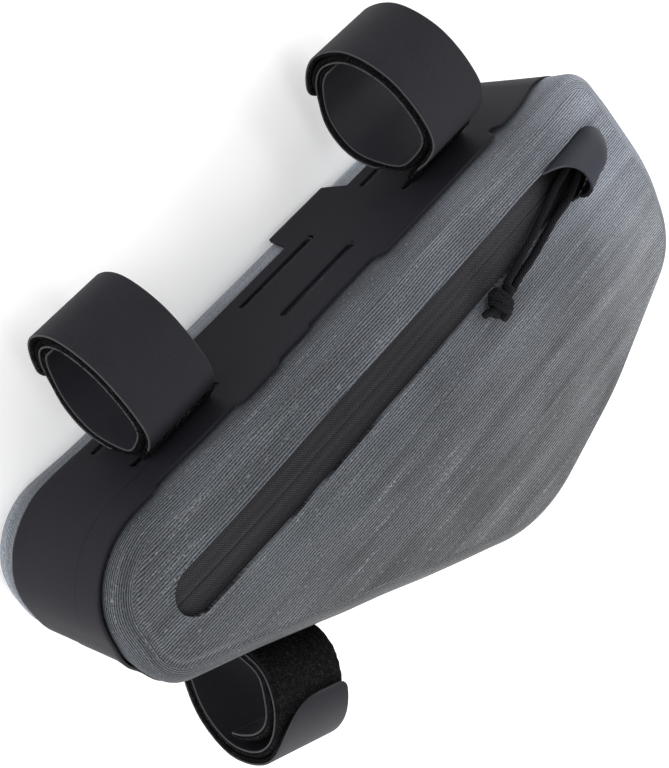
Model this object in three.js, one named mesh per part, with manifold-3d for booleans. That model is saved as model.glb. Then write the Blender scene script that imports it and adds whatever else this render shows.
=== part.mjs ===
// Bicycle frame bag: a hollow welded pouch with a slotted strap sheet, three rolled
// hook-and-loop straps, a flat zipper with its garage, and a knotted pull cord.
// Millimetres. +X runs along the long top edge from the round nose to the rear end,
// +Y points to the strap side, +Z is the outward normal of the zip panel.
// The bag lies on its far side panel.
import * as THREE from 'three';
import { mergeVertices } from 'three/addons/utils/BufferGeometryUtils.js';
import Module from 'manifold-3d';

const wasm = await Module();
wasm.setup();

// Driving sizes of the pouch
const BAG_LENGTH = 354;
const BAG_DEPTH = 172.6;
const BAG_WIDTH = 77;
const WALL = 1.4;
const EDGE_ROUND = 7.5;
const PANEL_CROWN = 4;
const FIT_GAP = 0.3;
const ARC_STEP_DEG = 9;

// Sheet that carries the straps
const SHEET_THICKNESS = 1.2;
const SHEET_NEAR_EDGE = 70.2;
const SHEET_FAR_EDGE = 4.2;
const WAIST_NEAR_EDGE = 67.4;
const WAIST_FAR_EDGE = 15.2;
const SHEET_REAR_X = 189;
const LOWER_NEAR_EDGE = 61;
const SLOT_LENGTH = 46;
const SLOT_WIDTH = 3;
const SLOT_PITCH = 24.4;

// Straps
const STRAP_WIDTH = 36.4;
const HOOK_THICKNESS = 2.4;
const LOOP_THICKNESS = 2.8;
const FOOT_THICKNESS = 1.2;
const FOOT_REACH = 19;
const RECESS_DEPTH = 2;
const TAB_CORNER = 8;

// Zipper, garage, pull cord
const ZIP_LENGTH = 280;
const ZIP_WIDTH = 20.6;
const ZIP_CENTRE_Y = -36.6;
const ZIP_NOSE_X = -113.5;
const TAPE_THICKNESS = 1;
const TAPE_LAP = 4;
const GARAGE_LENGTH = 41;
const GARAGE_WIDTH = 22.6;
const GARAGE_HEIGHT = 8;
const GARAGE_WALL = 1.3;
const GARAGE_REAR_X = 178.5;
const GARAGE_LEAN_DEG = 58;
const CORD_DIAMETER = 2.8;
const KNOT_LENGTH = 17;
const KNOT_WIDTH = 12.5;
const KNOT_HEIGHT = 9;

// Side outline at the outer face of the strap sheet: corners as shares of the length and of the
// depth under the top line, each with the radius that rounds it as a share of the depth
const NOSE_X = -139.5;
const POUCH_INSET = SHEET_THICKNESS + FIT_GAP;
const OUTLINE = [
  { along: 0.011, down: 0, round: 0.191 },
  { along: 0, down: 0.3505, round: 0.154 },
  { along: 0.559, down: 1, round: 0.454 },
  { along: 0.776, down: 0.8975, round: 0.87 },
  { along: 1, down: 0.7035, round: 0.203 },
  { along: 0.9945, down: 0.427, round: 0.695 },
  { along: 0.924, down: 0, round: 0.132 },
];

// Strap positions: centre along the edge that carries the strap, the outer size of the roll,
// and how far round the outer band's tab reaches
const STRAPS = [
  { name: 'front', along: -63.5, halfWidth: 25, height: 58.4, lift: 0.6, shift: 3.8, tab: 0.635 },
  { name: 'rear', along: 107.5, halfWidth: 30, height: 59.6, lift: 5.6, shift: 7.4, tab: 0.62 },
];
const LOWER_STRAP = {
  name: 'lower', along: -14, halfWidth: 30.4, height: 54, lift: 2.5, shift: -7, tab: 0.68,
};
const SPARE_SLOT_ALONG = 24.7;

// Rolled strap section, seen from the nose, as shares of its half width and half height
const ROLL = [
  { across: 0.45, up: -0.97 },
  { across: 0.98, up: -0.55 },
  { across: 1, up: -0.02 },
  { across: 0.69, up: 0.6 },
  { across: 0.1, up: 0.98 },
  { across: -0.55, up: 0.89 },
  { across: -0.93, up: 0.45 },
  { across: -0.99, up: -0.15 },
  { across: -0.72, up: -0.76 },
  { across: -0.12, up: -1 },
];

function toManifold(geometry) {
  const bare = geometry.clone();
  bare.deleteAttribute('normal');
  bare.deleteAttribute('uv');
  const merged = mergeVertices(bare, 1e-4);
  return new wasm.Manifold(new wasm.Mesh({
    numProp: 3,
    vertProperties: new Float32Array(merged.attributes.position.array),
    triVerts: new Uint32Array(merged.index.array),
  }));
}

function toGeometry(solid) {
  const mesh = solid.getMesh();
  const geometry = new THREE.BufferGeometry();
  geometry.setAttribute('position', new THREE.BufferAttribute(new Float32Array(mesh.vertProperties), 3));
  geometry.setIndex(new THREE.BufferAttribute(new Uint32Array(mesh.triVerts), 1));
  return geometry;
}

// Outline of the pouch moved outwards by grow (inwards when negative), counterclockwise from
// the nose, with the same number of points whatever the move
function outlinePoints(grow) {
  const corners = OUTLINE.map((c) => ({
    at: new THREE.Vector2(NOSE_X + c.along * BAG_LENGTH, -c.down * BAG_DEPTH),
    round: c.round * BAG_DEPTH,
  }));
  const points = [];
  const count = corners.length;
  for (let i = 0; i < count; i += 1) {
    const here = corners[i];
    const into = here.at.clone().sub(corners[(i + count - 1) % count].at).normalize();
    const out = corners[(i + 1) % count].at.clone().sub(here.at).normalize();
    const turn = Math.atan2(into.x * out.y - into.y * out.x, into.dot(out));
    const reach = here.round * Math.tan(turn / 2);
    const start = here.at.clone().addScaledVector(into, -reach);
    const inward = new THREE.Vector2(-into.y, into.x);
    const centre = start.clone().addScaledVector(inward, here.round);
    const steps = Math.max(2, Math.round(THREE.MathUtils.radToDeg(turn) / ARC_STEP_DEG));
    for (let k = 0; k <= steps; k += 1) {
      const arm = inward.clone().negate().rotateAround(new THREE.Vector2(), (turn * k) / steps);
      points.push(centre.clone().addScaledVector(arm, here.round - POUCH_INSET + grow));
    }
  }
  return points;
}

// Centre of the panels, where the crown is highest
const CROWN_CENTRE = new THREE.Vector2(NOSE_X + 0.52 * BAG_LENGTH, -0.46 * BAG_DEPTH);
const CROWN_RINGS = [0.82, 0.6, 0.34];

// Closed pillow: flat far panel, rounded edges, straight gusset and a crowned near panel
function pillow(grow) {
  const round = EDGE_ROUND + grow;
  const floor = -grow;
  const top = BAG_WIDTH + grow;
  const rings = [];
  for (const deg of [0, 30, 60, 90]) {
    const a = THREE.MathUtils.degToRad(deg);
    rings.push({ z: floor + round * (1 - Math.sin(a)), points: outlinePoints(grow - round * (1 - Math.cos(a))) });
  }
  rings.reverse();
  for (const deg of [0, 22.5, 45, 67.5, 90]) {
    const a = THREE.MathUtils.degToRad(deg);
    rings.push({ z: top - round * (1 - Math.sin(a)), points: outlinePoints(grow - round * (1 - Math.cos(a))) });
  }
  const rim = rings[rings.length - 1].points;
  for (const share of CROWN_RINGS) {
    rings.push({
      z: top + PANEL_CROWN * (1 - share * share),
      points: rim.map((p) => p.clone().sub(CROWN_CENTRE).multiplyScalar(share).add(CROWN_CENTRE)),
    });
  }
  const count = rim.length;
  const vertices = [CROWN_CENTRE.x, CROWN_CENTRE.y, floor];
  rings.forEach((ring) => ring.points.forEach((p) => vertices.push(p.x, p.y, ring.z)));
  vertices.push(CROWN_CENTRE.x, CROWN_CENTRE.y, top + PANEL_CROWN);
  const last = 1 + rings.length * count;
  const index = [];
  for (let i = 0; i < count; i += 1) {
    const j = (i + 1) % count;
    index.push(0, 1 + j, 1 + i);
    for (let r = 0; r + 1 < rings.length; r += 1) {
      const low = 1 + r * count;
      const high = low + count;
      index.push(low + i, low + j, high + j);
      index.push(low + i, high + j, high + i);
    }
    index.push(last - count + i, last - count + j, last);
  }
  const geometry = new THREE.BufferGeometry();
  geometry.setAttribute('position', new THREE.Float32BufferAttribute(vertices, 3));
  geometry.setIndex(index);
  return toManifold(geometry);
}

// Height of the near panel's outer face over a point of the panel
function panelHeight(x, y) {
  const rim = outlinePoints(-EDGE_ROUND);
  const arm = new THREE.Vector2(x, y).sub(CROWN_CENTRE);
  let share = 0;
  rim.forEach((p, i) => {
    const a = p.clone().sub(CROWN_CENTRE);
    const b = rim[(i + 1) % rim.length].clone().sub(CROWN_CENTRE);
    const edge = b.clone().sub(a);
    share = Math.max(share, (arm.x * edge.y - arm.y * edge.x) / (a.x * edge.y - a.y * edge.x));
  });
  return BAG_WIDTH + PANEL_CROWN * (1 - share * share);
}

function box(x0, x1, y0, y1, z0, z1) {
  const geometry = new THREE.BoxGeometry(x1 - x0, y1 - y0, z1 - z0);
  geometry.translate((x0 + x1) / 2, (y0 + y1) / 2, (z0 + z1) / 2);
  return toManifold(geometry);
}

// Slab with round ends along X, standing along Z
function stadium(x0, x1, yCentre, width, z0, z1) {
  const r = width / 2;
  const shape = new THREE.Shape();
  shape.moveTo(x0 + r, yCentre - r);
  shape.lineTo(x1 - r, yCentre - r);
  shape.absarc(x1 - r, yCentre, r, -Math.PI / 2, Math.PI / 2);
  shape.lineTo(x0 + r, yCentre + r);
  shape.absarc(x0 + r, yCentre, r, Math.PI / 2, (3 * Math.PI) / 2);
  const geometry = new THREE.ExtrudeGeometry(shape, { depth: z1 - z0, bevelEnabled: false, curveSegments: 10 });
  geometry.translate(0, 0, z0);
  return toManifold(geometry);
}

// The same slab standing along Y, for slots and waists in the flat run of the sheet
function slab(x0, x1, zCentre, width, y0, y1) {
  const geometry = toGeometry(stadium(x0, x1, -zCentre, width, 0, y1 - y0));
  geometry.rotateX(-Math.PI / 2);
  geometry.translate(0, y0, 0);
  return toManifold(geometry);
}

// Frame of the lower edge: a strap built for the top line is turned and carried there
const LOWER_FROM = new THREE.Vector2(NOSE_X + OUTLINE[1].along * BAG_LENGTH, -OUTLINE[1].down * BAG_DEPTH);
const LOWER_TO = new THREE.Vector2(NOSE_X + OUTLINE[2].along * BAG_LENGTH, -OUTLINE[2].down * BAG_DEPTH);
const LOWER_DIRECTION = LOWER_TO.clone().sub(LOWER_FROM).normalize();
const LOWER_OUTWARD = new THREE.Vector2(LOWER_DIRECTION.y, -LOWER_DIRECTION.x);
const LOWER_SURFACE = LOWER_FROM.dot(LOWER_OUTWARD);

function toLowerEdge(geometry, along) {
  const at = LOWER_DIRECTION.clone().multiplyScalar(along).addScaledVector(LOWER_OUTWARD, LOWER_SURFACE);
  const turn = Math.atan2(LOWER_OUTWARD.y, LOWER_OUTWARD.x) - Math.PI / 2;
  geometry.rotateZ(turn);
  geometry.translate(at.x, at.y, 0);
  return geometry;
}

// Ribbon section along X from middle points (z, y) and a thickness at each of them
function ribbon(middle) {
  const left = [];
  const right = [];
  middle.forEach((p, i) => {
    const before = middle[Math.max(0, i - 1)];
    const after = middle[Math.min(middle.length - 1, i + 1)];
    const along = new THREE.Vector2(after.z - before.z, after.y - before.y).normalize();
    const half = p.thick / 2;
    left.push(new THREE.Vector2(p.z - along.y * half, p.y + along.x * half));
    right.push(new THREE.Vector2(p.z + along.y * half, p.y - along.x * half));
  });
  const shape = new THREE.Shape(left.concat(right.reverse()));
  const geometry = new THREE.ExtrudeGeometry(shape, { depth: STRAP_WIDTH, bevelEnabled: false });
  geometry.rotateY(-Math.PI / 2);
  geometry.translate(STRAP_WIDTH / 2, 0, 0);
  return toManifold(geometry);
}

const SLOT_CENTRE_Z = BAG_WIDTH / 2;

// Points on the roll: turn 0 is at the foot, 1 is once round over the top and back
function rollPoint(strap, turn, depth, thick) {
  const half = { z: strap.halfWidth, y: strap.height / 2 };
  const curve = new THREE.CatmullRomCurve3(
    ROLL.map((p) => new THREE.Vector3(p.across * half.z, p.up * half.y, 0)), true, 'centripetal');
  const t = ((turn % 1) + 1) % 1;
  const at = curve.getPoint(t);
  const along = curve.getTangent(t);
  const inset = depth + thick / 2;
  return {
    z: SLOT_CENTRE_Z + strap.shift + at.x - along.y * inset,
    y: strap.lift + half.y + at.y + along.x * inset,
    thick,
  };
}

// Depth under the outside of the roll, eased between named stations
function rollRun(strap, stations, thick, steps) {
  const run = [];
  const first = stations[0].turn;
  const last = stations[stations.length - 1].turn;
  for (let k = 0; k <= steps; k += 1) {
    const turn = first + ((last - first) * k) / steps;
    let i = 0;
    while (i + 2 < stations.length && turn > stations[i + 1].turn) i += 1;
    const share = (turn - stations[i].turn) / (stations[i + 1].turn - stations[i].turn);
    const eased = THREE.MathUtils.smoothstep(share, 0, 1);
    run.push(rollPoint(strap, turn, THREE.MathUtils.lerp(stations[i].depth, stations[i + 1].depth, eased), thick));
  }
  return run;
}

// Outer band: from a foot under the sheet up through the near slot, over the roll to its tab
function hookBand(strap) {
  const slotZ = SLOT_CENTRE_Z + SLOT_PITCH / 2;
  const under = -(SHEET_THICKNESS + FIT_GAP + FOOT_THICKNESS / 2);
  const thick = FOOT_THICKNESS;
  const run = rollRun(strap, [{ turn: 0.04, depth: 0 }, { turn: strap.tab, depth: 0 }], HOOK_THICKNESS, 30);
  const foot = [
    { z: slotZ - FOOT_REACH, y: under, thick },
    { z: slotZ - 2.4, y: under, thick },
    { z: slotZ - 0.5, y: under + 0.5, thick },
    { z: slotZ, y: under + 2, thick },
    { z: slotZ + 0.1, y: 0.8, thick },
    { z: slotZ + 0.32 * (run[0].z - slotZ), y: Math.max(1.9, 0.5 * run[0].y), thick: 1.8 },
  ];
  const tail = run[run.length - 1];
  let band = ribbon(foot.concat(run));
  for (const side of [-1, 1]) {
    const corner = new THREE.Shape();
    corner.moveTo(side * (STRAP_WIDTH / 2 + 1), tail.y - 3);
    corner.lineTo(side * (STRAP_WIDTH / 2 + 1), tail.y + TAB_CORNER);
    corner.lineTo((side * STRAP_WIDTH) / 2, tail.y + TAB_CORNER);
    corner.absarc(side * (STRAP_WIDTH / 2 - TAB_CORNER), tail.y + TAB_CORNER, TAB_CORNER,
      side > 0 ? 0 : Math.PI, -Math.PI / 2 + (side > 0 ? 0 : 2 * Math.PI), side > 0);
    corner.lineTo(side * (STRAP_WIDTH / 2 - TAB_CORNER), tail.y - 3);
    const cutter = new THREE.ExtrudeGeometry(corner, { depth: 14, bevelEnabled: false, curveSegments: 6 });
    cutter.translate(0, 0, tail.z - 7);
    band = band.subtract(toManifold(cutter));
  }
  return band;
}

// Inner band: a loose end inside the roll, once round under the outer band, then down
// the far side outside its own start
function loopBand(strap) {
  const under = HOOK_THICKNESS + FIT_GAP;
  const inner = LOOP_THICKNESS + FIT_GAP;
  const out = strap.tab + 0.01;
  return ribbon(rollRun(strap, [
    { turn: -0.52, depth: under + 1.4 * inner },
    { turn: 0.03 + out - 1, depth: under + 1.1 * inner },
    { turn: 0.1 + out - 1, depth: 1.25 * inner },
    { turn: 0.18 + out - 1, depth: 1.12 * inner },
    { turn: -0.1, depth: 0.5 },
    { turn: -0.05, depth: 0.9 },
    { turn: 0.02, depth: under + 0.2 },
    { turn: 0.1, depth: under },
    { turn: out, depth: under },
    { turn: out + 0.06, depth: 0.3 },
    { turn: out + 0.14, depth: 0 },
  ], LOOP_THICKNESS, 64));
}

function mirrorAcross(solid) {
  const geometry = toGeometry(solid);
  const position = geometry.attributes.position;
  for (let i = 0; i < position.count; i += 1) position.setZ(i, 2 * SLOT_CENTRE_Z - position.getZ(i));
  const order = geometry.index.array;
  for (let i = 0; i < order.length; i += 3) [order[i], order[i + 1]] = [order[i + 1], order[i]];
  return geometry;
}

function placeStrap(strap, solid) {
  const geometry = toGeometry(solid);
  geometry.translate(strap.along, 0, 0);
  return geometry;
}

// Room under the sheet for the foot of a strap, dented into the gusset fabric. The same dents
// made larger all round keep the wall whole behind them.
function recesses(grow) {
  const half = STRAP_WIDTH / 2 + 1.5 + grow;
  const floor = -(POUCH_INSET + RECESS_DEPTH + grow);
  const z0 = SLOT_CENTRE_Z + SLOT_PITCH / 2 - FOOT_REACH - 1.6 - grow;
  const z1 = SLOT_CENTRE_Z + SLOT_PITCH / 2 + 2.4 + grow;
  const upper = STRAPS.map((s) => box(s.along - half, s.along + half, floor, 5, z0, z1));
  const low = toGeometry(box(-half, half, floor, 5, 2 * SLOT_CENTRE_Z - z1, 2 * SLOT_CENTRE_Z - z0));
  return upper.concat(toManifold(toLowerEdge(low, LOWER_STRAP.along)));
}

function pouch() {
  let skin = pillow(0);
  let hollow = pillow(-WALL);
  recesses(0).forEach((dent) => { skin = skin.subtract(dent); });
  recesses(WALL).forEach((dent) => { hollow = hollow.subtract(dent); });
  const window = stadium(ZIP_NOSE_X, ZIP_NOSE_X + ZIP_LENGTH, ZIP_CENTRE_Y, ZIP_WIDTH, BAG_WIDTH / 2, BAG_WIDTH * 1.2);
  return skin.subtract(hollow).subtract(window);
}

// Tapes lie just under the panel, one on each side of the closed teeth
function zipTape(side) {
  const x1 = ZIP_NOSE_X + ZIP_LENGTH;
  const plan = stadium(ZIP_NOSE_X - TAPE_LAP, x1 + TAPE_LAP, ZIP_CENTRE_Y, ZIP_WIDTH + 2 * TAPE_LAP, BAG_WIDTH / 2, BAG_WIDTH * 1.2);
  const layer = pillow(-(WALL + FIT_GAP)).subtract(pillow(-(WALL + FIT_GAP + TAPE_THICKNESS)));
  const from = side > 0 ? ZIP_CENTRE_Y + FIT_GAP / 2 : ZIP_CENTRE_Y - ZIP_WIDTH;
  const to = side > 0 ? ZIP_CENTRE_Y + ZIP_WIDTH : ZIP_CENTRE_Y - FIT_GAP / 2;
  return layer.intersect(plan).intersect(box(ZIP_NOSE_X - 20, x1 + 20, from, to, BAG_WIDTH / 2, BAG_WIDTH * 1.2));
}

function dome(radius, height, length, rearX) {
  const profile = new THREE.Path();
  profile.moveTo(0, 0);
  profile.lineTo(radius, 0);
  profile.lineTo(radius, length - radius * 1.1);
  profile.absellipse(0, length - radius * 1.1, radius, radius * 1.1, 0, Math.PI / 2);
  const geometry = new THREE.LatheGeometry(profile.getPoints(9), 28);
  geometry.rotateZ(-Math.PI / 2);
  geometry.scale(1, 1, height / radius);
  geometry.translate(rearX - length, ZIP_CENTRE_Y, panelHeight(rearX - length / 2, ZIP_CENTRE_Y) - 1);
  return toManifold(geometry);
}

function garage() {
  const outer = dome(GARAGE_WIDTH / 2, GARAGE_HEIGHT + 1, GARAGE_LENGTH, GARAGE_REAR_X);
  const inner = dome(GARAGE_WIDTH / 2 - GARAGE_WALL, GARAGE_HEIGHT + 1 - GARAGE_WALL, GARAGE_LENGTH, GARAGE_REAR_X - GARAGE_WALL);
  const mouth = new THREE.BoxGeometry(60, 60, 60);
  mouth.translate(-30, 0, 0);
  mouth.rotateY(THREE.MathUtils.degToRad(GARAGE_LEAN_DEG));
  mouth.translate(GARAGE_REAR_X - GARAGE_LENGTH, ZIP_CENTRE_Y, panelHeight(GARAGE_REAR_X - GARAGE_LENGTH, ZIP_CENTRE_Y));
  return outer.subtract(inner).subtract(pillow(FIT_GAP)).subtract(toManifold(mouth));
}

// Sheet along the top line, over the rear corner and round the nose to the lower strap
function strapSheet() {
  const inside = outlinePoints(FIT_GAP);
  const outside = outlinePoints(FIT_GAP + SHEET_THICKNESS);
  const ring = new THREE.Shape(outside);
  ring.holes.push(new THREE.Path(inside));
  const geometry = new THREE.ExtrudeGeometry(ring, { depth: SHEET_NEAR_EDGE - SHEET_FAR_EDGE, bevelEnabled: false });
  geometry.translate(0, 0, SHEET_FAR_EDGE);
  let sheet = toManifold(geometry);
  const rear = NOSE_X + BAG_LENGTH;
  const low = -BAG_DEPTH;
  sheet = sheet.subtract(box(SHEET_REAR_X, rear + 9, low - 9, 9, -9, BAG_WIDTH + 9));
  sheet = sheet.subtract(box(0, rear + 9, low - 9, -20, -9, BAG_WIDTH + 9));
  const lowEnd = new THREE.BoxGeometry(BAG_LENGTH, 60, BAG_WIDTH * 2);
  lowEnd.translate(-BAG_LENGTH / 2, 0, SLOT_CENTRE_Z);
  sheet = sheet.subtract(toManifold(toLowerEdge(lowEnd, LOWER_STRAP.along + 0.9 * SLOT_LENGTH)));
  const lowNear = toGeometry(box(-74, 99, -9, 9, LOWER_NEAR_EDGE, BAG_WIDTH + 9));
  sheet = sheet.subtract(toManifold(toLowerEdge(lowNear, LOWER_STRAP.along)));
  const top = [-9, 9];
  const half = SLOT_LENGTH / 2;
  const far = (x0, x1, edge) => slab(x0, x1, edge - 20, 40, ...top);
  const near = (x0, x1, edge) => slab(x0, x1, edge + 20, 40, ...top);
  const farTab = { from: SPARE_SLOT_ALONG + 0.46 * SLOT_LENGTH, to: STRAPS[1].along - 0.52 * SLOT_LENGTH };
  sheet = sheet.subtract(far(-130, farTab.from, WAIST_FAR_EDGE));
  sheet = sheet.subtract(far(farTab.to, rear + 40, WAIST_FAR_EDGE));
  sheet = sheet.subtract(near(SPARE_SLOT_ALONG - half - 18, SPARE_SLOT_ALONG + half + 12, WAIST_NEAR_EDGE));
  sheet = sheet.subtract(near(STRAPS[1].along - half - 14, STRAPS[1].along + half + 16, WAIST_NEAR_EDGE));
  sheet = sheet.subtract(box(NOSE_X - 9, -110, low - 9, 9, -9, WAIST_FAR_EDGE - 1.2));
  sheet = sheet.subtract(box(NOSE_X - 9, 0, low - 9, -20, -9, WAIST_FAR_EDGE - 1.2));
  for (const side of [-1, 1]) {
    const z = SLOT_CENTRE_Z + (side * SLOT_PITCH) / 2;
    for (const along of [STRAPS[0].along, SPARE_SLOT_ALONG, STRAPS[1].along]) {
      sheet = sheet.subtract(slab(along - half, along + half, z, SLOT_WIDTH, -4, 4));
    }
    const lowSlot = toGeometry(slab(-half, half, z, SLOT_WIDTH, -4, 4));
    sheet = sheet.subtract(toManifold(toLowerEdge(lowSlot, LOWER_STRAP.along)));
  }
  return sheet;
}

// Pull cord: two strands out of the garage, side by side down the zipper to the knot
const STRANDS = [
  { name: 'cord_strand_upper', start: -1.7, mid: 2.0, end: 1.6 },
  { name: 'cord_strand_lower', start: 1.7, mid: 6.0, end: 5.4 },
];
const KNOT_X = 79;
const KNOT_Y = ZIP_CENTRE_Y - 16.5;
const TAPE_DROP = WALL + FIT_GAP;

function strand(row) {
  const lift = CORD_DIAMETER / 2 + FIT_GAP;
  const at = (x, drop, raise) => {
    const y = ZIP_CENTRE_Y - drop;
    return new THREE.Vector3(x, y, panelHeight(x, y) + raise);
  };
  const path = new THREE.CatmullRomCurve3([
    at(GARAGE_REAR_X - 24, row.start, lift - TAPE_DROP),
    at(GARAGE_REAR_X - 40, row.start + 0.9, lift - TAPE_DROP),
    at(GARAGE_REAR_X - 56, row.mid + 2.4, lift + 0.2),
    at(GARAGE_REAR_X - 76, row.mid + 7.6, lift + 0.3),
    at(KNOT_X + KNOT_LENGTH / 2 - 0.5, row.end + 11.4, lift + 1.6),
  ]);
  const ring = new THREE.Shape();
  ring.absarc(0, 0, CORD_DIAMETER / 2, 0, 2 * Math.PI);
  return new THREE.ExtrudeGeometry(ring, { extrudePath: path, steps: 18, curveSegments: 5 });
}

function knot() {
  const geometry = new THREE.SphereGeometry(0.5, 16, 10);
  geometry.scale(KNOT_LENGTH, KNOT_WIDTH, KNOT_HEIGHT);
  geometry.rotateZ(THREE.MathUtils.degToRad(38));
  geometry.translate(KNOT_X, KNOT_Y, panelHeight(KNOT_X, KNOT_Y) + KNOT_HEIGHT / 2 + FIT_GAP);
  let solid = toManifold(geometry);
  STRANDS.forEach((row) => {
    const path = strand(row);
    solid = solid.subtract(clearance(path));
  });
  return solid;
}

// The same strand a little thicker, so the knot closes round it without touching
function clearance(geometry) {
  const grown = mergeVertices((() => {
    const bare = geometry.clone();
    bare.deleteAttribute('uv');
    bare.deleteAttribute('normal');
    return bare;
  })(), 1e-4);
  grown.computeVertexNormals();
  const position = grown.attributes.position;
  const normal = grown.attributes.normal;
  for (let i = 0; i < position.count; i += 1) {
    position.setXYZ(i, position.getX(i) + normal.getX(i) * FIT_GAP,
      position.getY(i) + normal.getY(i) * FIT_GAP, position.getZ(i) + normal.getZ(i) * FIT_GAP);
  }
  return toManifold(grown);
}

const group = new THREE.Group();
group.name = 'bicycle_frame_bag';

function addPiece(name, geometry, color, roughness) {
  const bare = geometry.clone();
  bare.deleteAttribute('uv');
  bare.deleteAttribute('normal');
  const clean = mergeVertices(bare, 1e-4);
  clean.computeVertexNormals();
  const mesh = new THREE.Mesh(clean, new THREE.MeshStandardMaterial({ color, roughness, metalness: 0 }));
  mesh.name = name;
  group.add(mesh);
}

addPiece('pouch_shell', toGeometry(pouch()), 0x8d9094, 0.75);
addPiece('strap_sheet', toGeometry(strapSheet()), 0x2e2e31, 0.7);
addPiece('zip_tape_upper', toGeometry(zipTape(1)), 0x29292c, 0.65);
addPiece('zip_tape_lower', toGeometry(zipTape(-1)), 0x29292c, 0.65);
addPiece('zip_garage', toGeometry(garage()), 0x37373b, 0.7);
STRAPS.forEach((strap) => {
  addPiece(`${strap.name}_strap_hook_band`, placeStrap(strap, hookBand(strap)), 0x3a3a3d, 0.75);
  addPiece(`${strap.name}_strap_loop_band`, placeStrap(strap, loopBand(strap)), 0x1d1d1f, 0.95);
});
const lower = (solid) => toLowerEdge(mirrorAcross(solid), LOWER_STRAP.along);
addPiece('lower_strap_hook_band', lower(hookBand(LOWER_STRAP)), 0x3a3a3d, 0.75);
addPiece('lower_strap_loop_band', lower(loopBand(LOWER_STRAP)), 0x1d1d1f, 0.95);
STRANDS.forEach((row) => addPiece(row.name, strand(row), 0x141416, 0.8));
addPiece('cord_knot', toGeometry(knot()), 0x141416, 0.8);

// The row's origin is under the middle of the whole bag
group.updateMatrixWorld(true);
const whole = new THREE.Box3().setFromObject(group);
const middle = whole.getCenter(new THREE.Vector3());
group.children.forEach((mesh) => mesh.geometry.translate(-middle.x, -middle.y, -whole.min.z));

export default group;
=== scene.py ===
"""Looks of a bicycle frame bag: welded pouch, slotted sheet, rolled straps, zipper and pull cord.

Shapes are worked out in millimetres in the bag's own frame: x along the top edge towards the
rear, y up to the strap side, z out of the zip panel. They are moved into the row frame at the end.
"""

import math

import bpy
import numpy as np
from mathutils import Matrix, Vector


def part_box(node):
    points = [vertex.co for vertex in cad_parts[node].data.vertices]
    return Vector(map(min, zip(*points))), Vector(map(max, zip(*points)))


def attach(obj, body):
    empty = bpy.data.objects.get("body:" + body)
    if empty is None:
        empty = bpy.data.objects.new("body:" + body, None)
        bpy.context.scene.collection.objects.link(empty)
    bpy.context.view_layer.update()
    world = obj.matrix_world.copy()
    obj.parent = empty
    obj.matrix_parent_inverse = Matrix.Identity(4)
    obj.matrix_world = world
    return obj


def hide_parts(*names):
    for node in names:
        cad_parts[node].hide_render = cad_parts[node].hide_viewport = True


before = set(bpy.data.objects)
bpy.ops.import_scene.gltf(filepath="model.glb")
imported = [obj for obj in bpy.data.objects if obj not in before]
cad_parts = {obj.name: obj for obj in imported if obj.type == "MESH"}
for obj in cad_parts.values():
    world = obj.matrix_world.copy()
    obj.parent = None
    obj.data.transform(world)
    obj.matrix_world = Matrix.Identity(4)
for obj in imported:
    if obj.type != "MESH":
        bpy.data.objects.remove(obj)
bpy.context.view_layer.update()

METRE = 0.001

# Sizes of the pouch, as the solids have them
LENGTH, DEPTH, WIDTH = 354.0, 172.6, 77.0
NOSE_X = -139.5
EDGE_ROUND, CROWN, WALL = 7.5, 4.0, 1.4
SHEET_THICK, GAP = 1.2, 0.3
INSET = SHEET_THICK + GAP
MIDDLE_Z = WIDTH / 2

# Corners of the side outline from the rear top corner round the nose: along, down, round,
# as shares of the length and the depth
OUTLINE = [(0.924, 0.0, 0.132), (0.011, 0.0, 0.191), (0.0, 0.3505, 0.154), (0.559, 1.0, 0.454),
           (0.776, 0.8975, 0.87), (1.0, 0.7035, 0.203), (0.9945, 0.427, 0.695)]

# How far the pouch pulls in from its outline, by length along it from the rear top corner
PULL = [(0, 1.3), (12, 0.9), (30, 0.6), (60, 0), (205, 0), (235, -0.3), (262, -0.6), (300, -1.9),
        (335, -1.2), (355, 0), (370, 0.8), (380, 0.7), (390, 0.2), (413, 0.9), (425, 1.2), (457, 0.8),
        (470, 0.4), (494, 0.8), (520, 0.2), (548, 0.4), (561, 0.8), (590, 0.9), (603, 0.8), (632, 0.9),
        (665, 1.1), (695, 1.3), (735, 1.6), (755, 2.3), (767, 3.2), (775, 3.4), (798, 2.0), (830, 1.2),
        (850, 0.7), (863.05, 1.3)]

# Zipper window and garage
ZIP_X0, ZIP_LENGTH, ZIP_WIDTH, ZIP_Y = -113.5, 280.0, 20.6, -36.6
TAPE_LAP, TAPE_DOWN = 4.0, 1.75
GARAGE_REAR, GARAGE_LENGTH, GARAGE_HALF, GARAGE_HIGH, GARAGE_WALL = 178.5, 41.0, 10.8, 7.4, 1.2
MOUTH_X, MOUTH_REACH, MOUTH_WIDER = 152.5, 8.0, 3.7
MOUTH_LEAN, MOUTH_CURVE, MOUTH_OVER, MOUTH_FOOT = 20.0, 0.68, 2.0, 3.0
HOOD_CURVE, HOOD_RISE, HOOD_CLEAR, FOOT_CLEAR = 0.62, 1.5, 0.28, 0.18

# Slots and straps
STRAP_WIDTH, HOOK_THICK, LOOP_THICK = 36.4, 2.4, 2.8
OUTER_SKIN, INNER_SKIN, HOOK_PILE, FOOT_PILE = 1.0, 0.9, 1.4, 2.8
CUT_PALE, THREAD, THREAD_ROOT = 0.35, 0.07, 0.25
SLOT_LENGTH, SLOT_WIDE, SLOT_PITCH, SPARE_SLOT = 46.0, 3.0, 24.4, 24.7

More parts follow.
